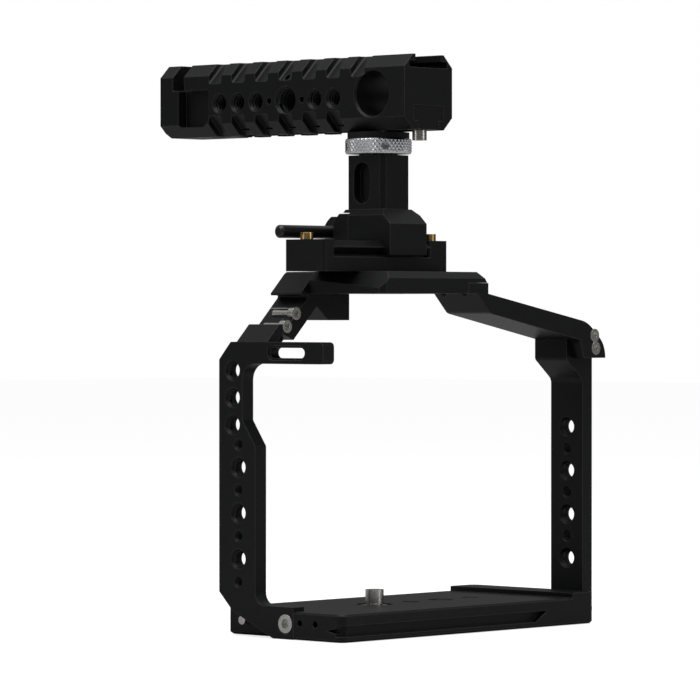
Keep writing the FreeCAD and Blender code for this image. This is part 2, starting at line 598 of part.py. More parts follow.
def quick_release_rail():
    left, right = RAIL_LEFT_X, RAIL_LEFT_X + RAIL_LENGTH
    rear, front = RAIL_Y - RAIL_HALF, RAIL_Y + RAIL_HALF
    base_top = TOP_SURFACE + RAIL_BASE
    base = prism("z", [(left, rear, 1.2), (right, rear, 1.2), (right, front, 1.2), (left, front, 1.2)],
                 TOP_SURFACE, base_top)
    flange = prism("x", rail_section(0), left + 2, right - 2)
    blocks = []
    for low, high in ((left, left + LEFT_BLOCK), (right - RIGHT_BLOCK, right)):
        block = prism("z", [(low, rear, 1.2), (high, rear, 1.2), (high, front, 1.2), (low, front, 1.2)],
                      base_top, RAIL_TOP + 0.3)
        blocks.append(block)
    rail = joined([base, flange] + blocks)
    tools = []
    for x, y in STOP_SCREWS:
        tools.append(rod("z", x, y, TOP_SURFACE + 1.0, RAIL_TOP + BEYOND, 1.2 + SEAM))
    for x in RAIL_SCREWS_X:
        tools.append(rod("z", x, RAIL_Y, TOP_SURFACE - BEYOND, RAIL_TOP + BEYOND, RAIL_SCREW_R + SEAM))
        tools.append(rod("z", x, RAIL_Y, RAIL_TOP - 3.0 - SEAM, RAIL_TOP + BEYOND, RAIL_SCREW_HEAD_R + SEAM))
    return cut(rail, tools)


def clamp_post():
    """The fixed claw of the clamp and the square post above it, in one piece."""
    rear, split = POST_Y - CLAMP_REAR, POST_Y + CLAMP_SPLIT
    post_rear, post_front = POST_Y - POST_HALF_Y, POST_Y + POST_HALF_Y
    profile = [(rear, CLAMP_LOW), (rear, FLARE_LOW), (post_rear, FLARE_HIGH), (post_rear, POST_TOP),
               (post_front, POST_TOP), (post_front, JAW_TOP + SEAT_GAP), (split, JAW_TOP + SEAT_GAP),
               (split, CLAMP_LOW)]
    body = prism("x", profile, POST_X - CLAMP_HALF_X, POST_X + CLAMP_HALF_X)
    tools = []
    for side in (-1, 1):
        inner, outer = POST_X + side * POST_HALF_X, POST_X + side * (CLAMP_HALF_X + BEYOND)
        step = CLAMP_HALF_X - POST_HALF_X + BEYOND
        tools.append(prism("y", [(inner, FLARE_HIGH), (outer, FLARE_HIGH - step), (outer, POST_TOP + BEYOND),
                                 (inner, POST_TOP + BEYOND)], rear - BEYOND, post_front + BEYOND))
        for y, way in ((post_rear, 1), (post_front, -1)):
            tools.append(prism("z", [(inner + side, y - way * 0.5), (inner - side * 1.5, y - way * 0.5),
                                     (inner - side * 1.5, y), (inner, y + way * 1.5),
                                     (inner + side, y + way * 1.5)],
                               FLARE_HIGH, POST_TOP + BEYOND))
        low, high = sorted((inner - side * 3.2, inner + side))
        tools.append(post_pocket(low, high))
    tools.append(prism("x", rail_section(SLIDE_GAP), POST_X - CLAMP_HALF_X - BEYOND, POST_X + CLAMP_HALF_X + BEYOND))
    tools.append(box((POST_X - CLAMP_HALF_X - BEYOND, RAIL_Y, CLAMP_LOW - BEYOND),
                     (POST_X + CLAMP_HALF_X + BEYOND, split + BEYOND, RAIL_TOP + SLIDE_GAP)))
    tools.append(rod("y", POST_X, SCREW_Z, rear + 2.6, split + BEYOND, SCREW_R + RUNNING))
    for side in (-1, 1):
        tools.append(rod("y", POST_X + side * GUIDE_SPREAD, GUIDE_Z, split - 6.0, split + BEYOND, GUIDE_R + SEAM))
    collar = rod("z", POST_X, POST_Y, POST_TOP - BEYOND, POST_TOP + RING_HEIGHT, COLLAR_R)
    tools.append(rod("z", POST_X, POST_Y, POST_TOP - 15.0, POST_TOP + RING_HEIGHT + BEYOND, STUD_R + SEAM))
    return cut(joined([body, collar]), tools)


def post_pocket(low, high):
    """An upright pocket with round ends in the side of the post."""
    y, z, a, b = POST_Y + 1.0, 150.5, 3.7, 6.9
    return prism("x", [(y - a, z - b, 3.6), (y + a, z - b, 3.6), (y + a, z + b, 3.6), (y - a, z + b, 3.6)], low, high)


def clamp_jaw():
    """The sliding half of the clamp, in front of the post."""
    split, front = POST_Y + CLAMP_SPLIT + SEAM, POST_Y + JAW_FRONT
    toe = RAIL_Y + RAIL_NECK_HALF + 2 * SLIDE_GAP
    profile = [(toe, CLAMP_LOW), (front, CLAMP_LOW), (front, JAW_TOP - 2.6), (front - 2.6, JAW_TOP),
               (split, JAW_TOP), (split, RAIL_TOP), (toe, RAIL_TOP)]
    jaw = prism("x", profile, POST_X - CLAMP_HALF_X, POST_X + CLAMP_HALF_X)
    tools = [prism("x", rail_section(SLIDE_GAP), POST_X - CLAMP_HALF_X - BEYOND, POST_X + CLAMP_HALF_X + BEYOND),
             rod("y", POST_X, SCREW_Z, split - BEYOND, front + BEYOND, SCREW_R + RUNNING)]
    for side in (-1, 1):
        tools.append(rod("y", POST_X + side * GUIDE_SPREAD, GUIDE_Z, split - BEYOND, front - 1.6, GUIDE_R + RUNNING))
    return cut(jaw, tools)


def guide_pins():
    split, front = POST_Y + CLAMP_SPLIT, POST_Y + JAW_FRONT
    return [rod("y", POST_X + side * GUIDE_SPREAD, GUIDE_Z, split - 5.8, front - 2.2, GUIDE_R) for side in (-1, 1)]


def clamp_lever():
    """The faceted hub on the clamp screw with its straight round lever."""
    near = POST_Y + JAW_FRONT + SEAT_GAP
    far = near + HUB_LENGTH
    corners = [(POST_X + HUB_R * math.cos(math.radians(45 * i + 22.5)),
                SCREW_Z + HUB_R * math.sin(math.radians(45 * i + 22.5))) for i in range(8)]
    hub = prism("y", corners, near, far)
    hub = hub.common(cone("y", POST_X, SCREW_Z, near, far, HUB_R + HUB_LENGTH - 1.4, HUB_R - 1.4))
    bar_y = near + HUB_LENGTH * 0.5
    end_x = POST_X - LEVER_REACH
    bar = rod("x", bar_y, SCREW_Z, end_x + 0.8, POST_X, LEVER_R)
    tip = cone("x", bar_y, SCREW_Z, end_x, end_x + 0.8, LEVER_R - 0.8, LEVER_R)
    return cut(joined([hub, bar, tip]), [rod("y", POST_X, SCREW_Z, near - BEYOND, far + BEYOND, SCREW_R + SEAM)])


def clamp_screw():
    near = POST_Y + JAW_FRONT + SEAT_GAP
    far = near + HUB_LENGTH
    return rod("y", POST_X, SCREW_Z, POST_Y - CLAMP_REAR + 4.0, far - 0.4, SCREW_R)


def lock_ring():
    """The knurled ring on the post's collar that locks the handle."""
    low, high = POST_TOP + SEAT_GAP + 0.2, POST_TOP + SEAT_GAP + 0.2 + RING_HEIGHT
    edge = 0.5
    ring = joined([rod("z", POST_X, POST_Y, low + edge, high - edge, RING_R),
                   cone("z", POST_X, POST_Y, low, low + edge, RING_R - edge, RING_R),
                   cone("z", POST_X, POST_Y, high - edge, high, RING_R, RING_R - edge)])
    tools = [rod("z", POST_X, POST_Y, low - BEYOND, high + BEYOND, COLLAR_R + RUNNING)]
    for i in range(RING_HOLES):
        angle = math.radians(360 / RING_HOLES * i - 70)
        way = FreeCAD.Vector(math.cos(angle), math.sin(angle), 0)
        start = FreeCAD.Vector(POST_X, POST_Y, (low + high) / 2) + way * (COLLAR_R + 1.6)
        tools.append(Part.makeCylinder(RING_HOLE_R, RING_R, start, way))
    return cut(ring, tools)


def washer_low():
    return POST_TOP + SEAT_GAP + 0.2 + RING_HEIGHT + 0.05


def friction_washer():
    low = washer_low()
    washer = rod("z", POST_X, POST_Y, low, low + WASHER_HEIGHT, WASHER_R)
    return washer.cut(rod("z", POST_X, POST_Y, low - BEYOND, low + WASHER_HEIGHT + BEYOND, STUD_R + SEAM))


def tee_stud():
    """The stud in the post, with the flat head that runs in the handle's slot."""
    head_low = HANDLE_LOW + SLOT_MOUTH_HEIGHT + SLIDE_GAP
    stud = rod("z", POST_X, POST_Y, POST_TOP - 14.5, head_low + TEE_HEIGHT / 2, STUD_R)
    a, b = TEE_WIDTH / 2, TEE_LENGTH / 2
    head = prism("z", [(POST_X - a, POST_Y - b, 1.5), (POST_X + a, POST_Y - b, 1.5), (POST_X + a, POST_Y + b, 1.5),
                       (POST_X - a, POST_Y + b, 1.5)], head_low, head_low + TEE_HEIGHT)
    return joined([stud, head])


def handle_outline():
    c, h, low, top = HANDLE_CHAMFER, HANDLE_HALF, HANDLE_LOW, HANDLE_TOP
    x = HANDLE_X
    return [(x - h + c, low), (x + h - c, low), (x + h, low + c), (x + h, top - c), (x + h - c, top),
            (x - h + c, top), (x - h, top - c), (x - h, low + c)]


def tee_slot(rear, front, mouth_width, mouth_height, wide_width, total_height):
    """The space of an inverted T along the underside of the handle."""
    low = HANDLE_LOW
    mouth = box((HANDLE_X - mouth_width / 2, rear, low - BEYOND), (HANDLE_X + mouth_width / 2, front, low + total_height))
    wide = box((HANDLE_X - wide_width / 2, rear, low + mouth_height),
               (HANDLE_X + wide_width / 2, front, low + total_height))
    return joined([mouth, wide])


def grip_notches():
    """Slanting notches across the upper and lower chamfers on both sides."""
    tools = []
    c, h = HANDLE_CHAMFER, HANDLE_HALF
    for side in (-1, 1):
        for i in range(GRIP_NOTCHES):
            y = GRIP_FIRST_Y + 3.4 + i * GRIP_PITCH
            corner_x = HANDLE_X + side * (h - c / 2)
            for corner_z, lean in ((HANDLE_TOP - c / 2, 1), (HANDLE_LOW + c / 2, -1)):
                if lean == -1 and i == 0:
                    continue
                a = GRIP_WIDTH / 2
                d = GRIP_DEPTH
                notch = prism("x", [(-a - 1, 4), (-a, -d, 0.8), (a, -d, 0.8), (a + 1, 4)], -6.0, 6.0)
                turn = 45 * side * lean * -1
                notch.rotate(FreeCAD.Vector(0, 0, 0), FreeCAD.Vector(1, 0, 0), 0 if lean == 1 else 180)
                notch.rotate(FreeCAD.Vector(0, 0, 0), FreeCAD.Vector(0, 1, 0), -turn)
                notch.translate(FreeCAD.Vector(corner_x, y, corner_z))
                tools.append(notch)
    return tools


def handle_body():
    front = HANDLE_REAR_Y + HANDLE_LENGTH
    body = prism("y", handle_outline(), HANDLE_REAR_Y, front)
    left, right = HANDLE_X - HANDLE_HALF, HANDLE_X + HANDLE_HALF
    tools = grip_notches()
    tools.append(tee_slot(HANDLE_REAR_Y + PLUG_LENGTH - 0.1, SLOT_FRONT_Y, SLOT_MOUTH_WIDTH, SLOT_MOUTH_HEIGHT,
                          SLOT_WIDE_WIDTH, SLOT_MOUTH_HEIGHT + SLOT_WIDE_HEIGHT))
    tools.append(tee_slot(HANDLE_REAR_Y - BEYOND, HANDLE_REAR_Y + PLUG_LENGTH, SLOT_MOUTH_WIDTH, PLUG_MOUTH_HEIGHT,
                          SLOT_WIDE_WIDTH, PLUG_TOTAL_HEIGHT))
    for y in SIDE_HOLES_Y:
        tools.append(chamfered_hole("x", y, ROD_Z - 1.0, left, right, QUARTER_R, QUARTER_CHAMFER))
    tools.append(chamfered_hole("x", BIG_HOLE_Y, ROD_Z - 1.0, left, right, THREE_EIGHTS_R, QUARTER_CHAMFER))
    for dy, dz in ((PIN_HOLE_SPREAD, 0), (-PIN_HOLE_SPREAD, 0), (0, PIN_HOLE_SPREAD), (0, -PIN_HOLE_SPREAD)):
        for low, high in ((left - BEYOND, left + 3.0), (right - 3.0, right + BEYOND)):
            tools.append(rod("x", BIG_HOLE_Y + dy, ROD_Z - 1.0 + dz, low, high, 1.1))
    tools.append(chamfered_hole("x", ROD_Y, ROD_Z, left, right, ROD_R, 0.6))
    tools.append(rod("z", HANDLE_X, ROD_Y + 2.0, ROD_Z, HANDLE_TOP + BEYOND, 2.0 + SEAM))
    tools += rear_shoe() + front_shoe(front)
    return cut(body, tools)


def rear_shoe():
    """The accessory shoe in the top of the handle's rear end, open to the rear."""
    rear, stop = HANDLE_REAR_Y - BEYOND, HANDLE_REAR_Y + SHOE_DEPTH
    mouth = box((HANDLE_X - SHOE_MOUTH / 2, rear, HANDLE_TOP - SHOE_LIP - BEYOND),
                (HANDLE_X + SHOE_MOUTH / 2, stop, HANDLE_TOP + BEYOND))
    floor = HANDLE_TOP - SHOE_LIP - SHOE_SLOT
    wide = box((HANDLE_X - SHOE_WIDTH / 2, rear, floor), (HANDLE_X + SHOE_WIDTH / 2, stop, HANDLE_TOP - SHOE_LIP))
    return [mouth, wide]


def front_shoe(front):
    """The cross slot near the front end and the pockets that open it at both sides."""
    left, right = HANDLE_X - HANDLE_HALF - BEYOND, HANDLE_X + HANDLE_HALF + BEYOND
    slot = prism("x", [(FRONT_NOTCH_Y, HANDLE_TOP - FRONT_NOTCH_DEPTH, 0.6),
                       (FRONT_NOTCH_Y + FRONT_NOTCH_WIDTH, HANDLE_TOP - FRONT_NOTCH_DEPTH, 0.6),
                       (FRONT_NOTCH_Y + FRONT_NOTCH_WIDTH, HANDLE_TOP + BEYOND),
                       (FRONT_NOTCH_Y, HANDLE_TOP + BEYOND)], left, right)
    tools = [slot]
    pocket = [(66.6, 171.2, 4.0), (81.6, 171.2, 1.0), (81.6, HANDLE_TOP - FRONT_NOTCH_DEPTH + 0.1),
              (66.6, HANDLE_TOP - FRONT_NOTCH_DEPTH + 0.1, 1.0)]
    for low, high in ((left, left + SIDE_POCKET_DEPTH), (right - SIDE_POCKET_DEPTH, right)):
        tools.append(prism("x", pocket, low, high))
    tools.append(chamfered_hole("z", HANDLE_X, 72.5, HANDLE_LOW, HANDLE_TOP, QUARTER_R, QUARTER_CHAMFER))
    nose = 2.0
    tools.append(prism("x", [(front - nose, HANDLE_LOW - BEYOND), (front + BEYOND, HANDLE_LOW - BEYOND),
                             (front + BEYOND, HANDLE_LOW + nose + BEYOND)], left, right))
    return tools


def slot_plug():
    """The plug that closes the slot at the rear and carries the stop screw."""
    gap = SEAM
    rear, front = HANDLE_REAR_Y + 0.2, HANDLE_REAR_Y + PLUG_LENGTH - 0.2
    mouth = box((HANDLE_X - SLOT_MOUTH_WIDTH / 2 + gap, rear, HANDLE_LOW + 0.1),
                (HANDLE_X + SLOT_MOUTH_WIDTH / 2 - gap, front, HANDLE_LOW + PLUG_MOUTH_HEIGHT + gap))
    wide = box((HANDLE_X - SLOT_WIDE_WIDTH / 2 + gap, rear, HANDLE_LOW + PLUG_MOUTH_HEIGHT + gap),
               (HANDLE_X + SLOT_WIDE_WIDTH / 2 - gap, front, HANDLE_LOW + PLUG_TOTAL_HEIGHT - gap))
    hole = rod("z", HANDLE_X, HANDLE_REAR_Y + STOP_Y, HANDLE_LOW - BEYOND, HANDLE_LOW + PLUG_TOTAL_HEIGHT + BEYOND,
               1.25 + SEAM)
    return joined([mouth, wide]).cut(hole)


def stop_screw():
    """The cap screw under the plug that stops the handle against the lock ring."""
    return socket_screw("z", HANDLE_X, HANDLE_REAR_Y + STOP_Y, HANDLE_LOW - 3.4, 1, 2.4, 3.4, 1.25, 7.4, 1.2)


def rod_set_screw():
    """The grub screw that holds a rod in the handle's bore."""
    low = ROD_Z + ROD_R + 0.1
    screw = rod("z", HANDLE_X, ROD_Y + 2.0, low, low + 4.4, 2.0)
    return screw.cut(rod("z", HANDLE_X, ROD_Y + 2.0, low + 2.4, low + 5.4, 1.0))


def rail_stop_screws():
    """The two slotted brass screws that keep the clamp on the rail."""
    screws = []
    seat = RAIL_TOP + 0.3
    for x, y in STOP_SCREWS:
        head = rod("z", x, y, seat, seat + STOP_HEAD, STOP_SCREW_R)
        shank = rod("z", x, y, seat - 6.0, seat, 1.2)
        slot = box((x - STOP_SCREW_R - 1, y - 0.35, seat + STOP_HEAD - 0.9), (x + STOP_SCREW_R + 1, y + 0.35, seat + STOP_HEAD + 1))
        screws.append(joined([head, shank]).cut(slot))
    return screws


def flat_screws(places, seat, head_r, head_height, shank_r, length):
    """Flush screws that stand upright with their heads just below a surface."""
    screws = []
    for x, y in places:
        screws.append(socket_screw("z", x, y, seat - 0.1, -1, head_r, head_height - 0.1, shank_r, length, head_r * 0.5))
    return screws


def camera_screw():
    """The screw that holds the camera: a wide flat head with a folding-ring slot, and its shank."""
    x, y = CAMERA_SCREW_X, CAMERA_SCREW_Y
    head = rod("z", x, y, SEAT_GAP, SEAT_GAP + CAMERA_HEAD, CAMERA_HEAD_R)
    shank = rod("z", x, y, SEAT_GAP + CAMERA_HEAD - 0.2, BASE_THICK + CAMERA_SCREW_REACH, CAMERA_SCREW_R)
    slot = box((x - CAMERA_HEAD_R - 1, y - 0.9, -BEYOND), (x + CAMERA_HEAD_R + 1, y + 0.9, SEAT_GAP + 1.5))
    groove_top = BASE_THICK + SEAT_GAP
    groove = rod("z", x, y, groove_top - CAMERA_GROOVE, groove_top, CAMERA_SCREW_R + BEYOND)
    groove = groove.cut(rod("z", x, y, groove_top - CAMERA_GROOVE, groove_top, CAMERA_GROOVE_R))
    return joined([head, shank]).cut([slot, groove])


def camera_screw_clip():
    """The ring on the shank that keeps the camera screw in the base."""
    x, y, low = CAMERA_SCREW_X, CAMERA_SCREW_Y, BASE_THICK - 1.1
    return rod("z", x, y, low, low + 0.8, 4.8).cut(rod("z", x, y, low - 1, low + 2, CAMERA_GROOVE_R + 0.01))


def foot_screw():
    s = FOOT_SCREW
    return socket_screw("x", s["y"], s["z"], LEFT_X, 1, s["head_r"], s["head"], s["shank_r"], s["shank"], 1.75)


def foot_pins():
    return [rod("x", y, FOOT_PIN_Z, SIDE_INNER_X - 2.4, SIDE_INNER_X + 4.8, FOOT_PIN_R) for y in FOOT_PINS_Y]


def shoulder_screws():
    s = SIDE_SCREW
    return [socket_screw("y", x, z, SHOULDER_REAR_Y, 1, s["head_r"], s["head"], s["shank_r"], s["shank"], 1.15)
            for x, z in SIDE_SCREWS]


def arm_top_screws():
    s = ARM_TOP_SCREW
    return [socket_screw("y", x, z, TOP_REAR_Y, 1, s["head_r"], s["head"], s["shank_r"], s["shank"], 1.15)
            for x, z in ARM_TOP_SCREWS]


def arm_base_screws():
    s = ARM_BASE_SCREW
    outer = RIGHT_X + SEAM + RIGHT_ARM_THICK
    return [socket_screw("x", y, BASE_THICK / 2, outer - 0.1, -1, s["head_r"], s["head"] - 0.1, s["shank_r"],
                         s["shank"], 1.3) for y in ARM_BASE_SCREWS_Y]


save("base_plate", [base_plate()])
save("left_side_plate", [left_side_plate()])
save("left_shoulder", [left_shoulder()])
save("top_plate", [top_plate()])
save("right_shoulder", [right_shoulder()])
save("right_arm", [right_arm()])
save("foot_screw", [foot_screw()])
save("foot_pins", foot_pins())
save("shoulder_screws", shoulder_screws())
save("arm_top_screws", arm_top_screws())
save("arm_base_screws", arm_base_screws())
save("boss_screws", flat_screws(BOSS_SCREWS, TOP_SURFACE, PLATE_SCREW_HEAD_R, PLATE_HEAD, PLATE_SCREW_R, 11.0))
save("right_joint_screws", flat_screws(RIGHT_JOINT_SCREWS, TOP_SURFACE, PLATE_SCREW_HEAD_R, PLATE_HEAD,
                                       PLATE_SCREW_R, RIGHT_JOINT_REACH))
save("quick_release_rail", [quick_release_rail()])
save("rail_screws", flat_screws([(x, RAIL_Y) for x in RAIL_SCREWS_X], RAIL_TOP, RAIL_SCREW_HEAD_R, 3.0,
                                RAIL_SCREW_R, 12.0))
save("rail_stop_screws", rail_stop_screws())
save("camera_screw", [camera_screw()])
save("camera_screw_clip", [camera_screw_clip()])
save("clamp_post", [clamp_post()])
save("jaw_guide_pins", guide_pins())
save("tee_stud", [tee_stud()])
save("friction_washer", [friction_washer()])
save("clamp_jaw", [clamp_jaw()])
save("clamp_lever", [clamp_lever()])
save("clamp_screw", [clamp_screw()])
save("lock_ring", [lock_ring()])
save("handle_body", [handle_body()])
save("slot_plug", [slot_plug()])
save("stop_screw", [stop_screw()])
save("rod_set_screw", [rod_set_screw()])
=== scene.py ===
import json
import math

import bmesh
import bpy
from mathutils import Matrix, Vector


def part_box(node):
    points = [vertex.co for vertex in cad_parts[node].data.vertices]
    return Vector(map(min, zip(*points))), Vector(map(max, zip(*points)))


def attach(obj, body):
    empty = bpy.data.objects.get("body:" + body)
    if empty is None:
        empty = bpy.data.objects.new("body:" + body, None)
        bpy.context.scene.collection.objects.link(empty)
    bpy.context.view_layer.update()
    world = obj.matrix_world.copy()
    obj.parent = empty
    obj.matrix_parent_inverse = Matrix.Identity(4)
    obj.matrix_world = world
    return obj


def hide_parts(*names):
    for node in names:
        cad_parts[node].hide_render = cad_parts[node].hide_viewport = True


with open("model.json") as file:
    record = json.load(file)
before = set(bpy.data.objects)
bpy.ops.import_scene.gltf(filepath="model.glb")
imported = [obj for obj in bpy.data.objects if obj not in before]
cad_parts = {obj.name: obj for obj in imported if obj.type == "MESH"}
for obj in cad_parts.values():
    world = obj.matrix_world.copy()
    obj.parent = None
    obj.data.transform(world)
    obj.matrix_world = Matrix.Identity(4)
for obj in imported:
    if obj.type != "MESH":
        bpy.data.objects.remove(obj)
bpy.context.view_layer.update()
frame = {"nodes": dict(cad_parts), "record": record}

MM = 0.001

# Camera, fitted to the photograph
IMAGE_WIDTH = 700
VIEW_REACH = 50.0
FOCAL_PIXELS = 4330.0
SENSOR_WIDTH = 36.0
CAMERA_PLACE = (-1081.0 * MM, -992.5 * MM, 107.8 * MM)
CAMERA_YAW = 46.64
CAMERA_PITCH = -0.52

# Lock ring
KNURL_STARTS = 46
KNURL_CELL = 1.9 * MM
KNURL_DEPTH = 0.32 * MM
KNURL_STEPS = 10
KNURL_ROWS = 44
RING_EDGE = 0.45 * MM
RING_BORE = 6.56 * MM
RING_HOLE_R = 1.35 * MM
RING_HOLE_FLOOR = 8.1 * MM
RING_HOLES = 4
RING_HOLE_TURN = -34.6
RING_HOLE_SIDES = 32
RING_HOLE_PAST_RIM = 1.1

# Studio
HORIZON_LIGHT = 0.03
ZENITH_LIGHT = 0.75
FLOOR_GLOW = 0.77
FLOOR_PAINT = 0.5
FLOOR_HALF = 4.0
FLOOR_DROP = 0.2 * MM
LIGHT_TARGET = (0, 0, 0.1)
LIGHTS = (
    ("top_light", (-0.15, -0.1, 0.95), 0.8, 0.8, 6.0),
    ("left_light", (-0.95, 0.35, 0.45), 0.25, 0.8, 1.0),
    ("rear_light", (0.35, -0.95, 0.35), 0.25, 0.8, 1.1),
)

# Finishes
BROAD_SHARE = 60
BUMP_HEIGHT = 0.05 * MM
EDGE_SAMPLES = 6
EDGE_STARTS = 0.999
EDGE_FULL = 0.86
TONE_SPREAD = 0.18
GLOSS_SPREAD = 0.2

# Threads
PITCH_BY_RADIUS = {2.55: 1.27 * MM, 4.0: 1.5875 * MM, 1.5: 0.6 * MM}
THREAD_DEPTH_SHARE = 0.27
THREAD_STEPS = 36
THREAD_SINK = 0.02 * MM
THREAD_HALF_SHARE = 0.46


def new_object(name, mesh, material, body):
    """One new piece that rides on a body and takes its finish from a slot."""
    piece = bpy.data.objects.new(name, mesh)
    bpy.context.scene.collection.objects.link(piece)
    piece.data.materials.append(material)
    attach(piece, body)
    return piece


def mesh_from(name, points, faces):
    """A mesh of flat faces that all look outwards."""
    mesh = bpy.data.meshes.new(name)
    mesh.from_pydata(points, [], faces)
    mesh.validate()
    work = bmesh.new()
    work.from_mesh(mesh)
    bmesh.ops.recalc_face_normals(work, faces=work.faces)
    work.to_mesh(mesh)
    work.free()
    return mesh


# Materials


class Nodes:
    """A short way to write a node material."""

    def __init__(self, name):
        self.material = bpy.data.materials.new(name)
        self.material.use_nodes = True
        self.tree = self.material.node_tree
        self.tree.nodes.clear()

    def add(self, kind, **values):
        node = self.tree.nodes.new("ShaderNode" + kind)
        for key, value in values.items():
            if hasattr(node, key):
                setattr(node, key, value)
            else:
                node.inputs[key.replace("_", " ")].default_value = value
        return node

    def link(self, start, socket, end, target):
        self.tree.links.new(start.outputs[socket], end.inputs[target])


def span(nodes, source, socket, low, high):
    """Carry a value from 0 to 1 over to the range from low to high."""
    node = nodes.add("MapRange")
    node.inputs["To Min"].default_value = low
    node.inputs["To Max"].default_value = high
    nodes.link(source, socket, node, "Value")
    return node


def metal_finish(name, colour, edge_highlight_colour, metallic, rough, grain, bump, edge, specular):
    """A fine grained metal or anodised finish with softened edges that carry a painted highlight in a
    lighter colour.
    """
    nodes = Nodes(name)
    output = nodes.add("OutputMaterial")
    shader = nodes.add("BsdfPrincipled")
    shader.inputs["Metallic"].default_value = metallic
    shader.inputs["Specular IOR Level"].default_value = specular
    nodes.link(shader, "BSDF", output, "Surface")
    place = nodes.add("TexCoord")
    fine = nodes.add("TexNoise", Scale=grain, Detail=3.0, Roughness=0.6)
    nodes.link(place, "Object", fine, "Vector")
    broad = nodes.add("TexNoise", Scale=grain / BROAD_SHARE, Detail=2.0)
    nodes.link(place, "Object", broad, "Vector")
    rounded = nodes.add("Bevel", samples=EDGE_SAMPLES)
    rounded.inputs["Radius"].default_value = edge
    bumped = nodes.add("Bump", Strength=bump, Distance=BUMP_HEIGHT)
    nodes.link(fine, "Fac", bumped, "Height")
    nodes.link(rounded, "Normal", bumped, "Normal")
    nodes.link(bumped, "Normal", shader, "Normal")
    geometry = nodes.add("NewGeometry")
    dot = nodes.add("VectorMath", operation="DOT_PRODUCT")
    nodes.link(rounded, "Normal", dot, 0)
    nodes.tree.links.new(geometry.outputs["Normal"], dot.inputs[1])
    # Painted highlight: where the rounded edge normal turns away from the face's own normal, the base
    # colour is mixed towards a lighter edge colour.
    edge_highlight_share = nodes.add("MapRange")
    edge_highlight_share.inputs["From Min"].default_value = EDGE_STARTS
    edge_highlight_share.inputs["From Max"].default_value = EDGE_FULL
    nodes.link(dot, "Value", edge_highlight_share, "Value")
    colours = nodes.add("Mix", data_type="RGBA")
    colours.inputs["A"].default_value = (*colour, 1)
    colours.inputs["B"].default_value = (*edge_highlight_colour, 1)
    nodes.link(edge_highlight_share, "Result", colours, "Factor")
    shade = span(nodes, broad, "Fac", 1 - TONE_SPREAD, 1 + TONE_SPREAD)
    tone = nodes.add("VectorMath", operation="SCALE")
    nodes.tree.links.new(colours.outputs["Result"], tone.inputs[0])
    nodes.link(shade, "Result", tone, "Scale")
    nodes.link(tone, "Vector", shader, "Base Color")
    gloss = span(nodes, fine, "Fac", rough * (1 - GLOSS_SPREAD), rough * (1 + GLOSS_SPREAD))
    nodes.link(gloss, "Result", shader, "Roughness")
    return nodes.material


# Each finish lists its material name, base colour, lighter painted edge highlight colour, metallic,
# roughness, grain scale, bump strength, edge radius and specular level.
FINISHES = {
    "black_anodised": ("anodised_black", (0.0045, 0.0048, 0.005), (0.06, 0.062, 0.063),
                       0.0, 0.42, 9000, 0.35, 0.35 * MM, 0.22),
    "steel": ("stainless_steel", (0.60, 0.585, 0.55), (0.75, 0.74, 0.71),
              1.0, 0.26, 5000, 0.3, 0.18 * MM, 0.5),
    "black_steel": ("blackened_steel", (0.01, 0.01, 0.011), (0.05, 0.05, 0.05),
                    0.0, 0.28, 5000, 0.2, 0.3 * MM, 0.45),
    "knurled": ("knurled_metal", (0.62, 0.63, 0.65), (0.8, 0.81, 0.83),
                1.0, 0.24, 3000, 0.3, 0.1 * MM, 0.5),
    "washer": ("washer_black", (0.006, 0.006, 0.0065), (0.012, 0.012, 0.012),
               0.0, 0.55, 6000, 0.4, 0.2 * MM, 0.25),
    "brass": ("turned_brass", (0.60, 0.40, 0.16), (0.75, 0.55, 0.26),
              1.0, 0.27, 4500, 0.3, 0.15 * MM, 0.5),
}
MATERIALS = {slot: metal_finish(*values) for slot, values in FINISHES.items()}

SLOT_OF = {s["node"]: s["material_slot"] for s in frame["record"]["subparts"]}
BODY_OF = {n: body for body, names in frame["record"]["behaviour"]["bodies"].items() for n in names}


def finish_frame():
    """Every solid that stays gets the material of its slot."""
    for node, piece in frame["nodes"].items():
        piece.data.materials.clear()
        piece.data.materials.append(MATERIALS[SLOT_OF[node]])


# Knurled ring


def knurl(turn, height):
    """How far a point of the ring's rim stands out, from 0 in a valley to 1 on a peak."""
    along = 2 * math.pi * height / KNURL_CELL
    ridge = []
    for way in (1, -1):
        phase = (KNURL_STARTS * turn + way * along) / (2 * math.pi)
        ridge.append(abs(2 * (phase - math.floor(phase)) - 1))
    return min(ridge)


def ring_sections(low, high, radius):
    """Points of the ring's section, round from the bore's top edge: radius, height, share of the knurl."""
    rows = [(RING_BORE, high, 0), (radius - RING_EDGE, high, 0)]
    rim_low, rim_high = low + RING_EDGE, high - RING_EDGE
    for i in range(KNURL_ROWS + 1):
        rows.append((radius, rim_high + (rim_low - rim_high) * i / KNURL_ROWS, 1))
    rows += [(radius - RING_EDGE, low, 0), (RING_BORE, low, 0)]
    return rows


def ring_mesh():
    low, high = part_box("lock_ring")
    centre = (low + high) / 2
    radius = (high.x - low.x) / 2
    rows = ring_sections(low.z, high.z, radius)
    columns = KNURL_STARTS * KNURL_STEPS
    points = []
    for r, z, share in rows:
        for c in range(columns):
            turn = 2 * math.pi * c / columns
            reach = r - KNURL_DEPTH * share * (1 - knurl(turn, z - low.z))
            points.append((centre.x + reach * math.cos(turn), centre.y + reach * math.sin(turn), z))
    faces = []
    for i in range(len(rows)):
        j = (i + 1) % len(rows)
        for c in range(columns):
            d = (c + 1) % columns
            faces.append((i * columns + c, i * columns + d, j * columns + d, j * columns + c))
    return mesh_from("knurled_ring", points, faces), centre, radius


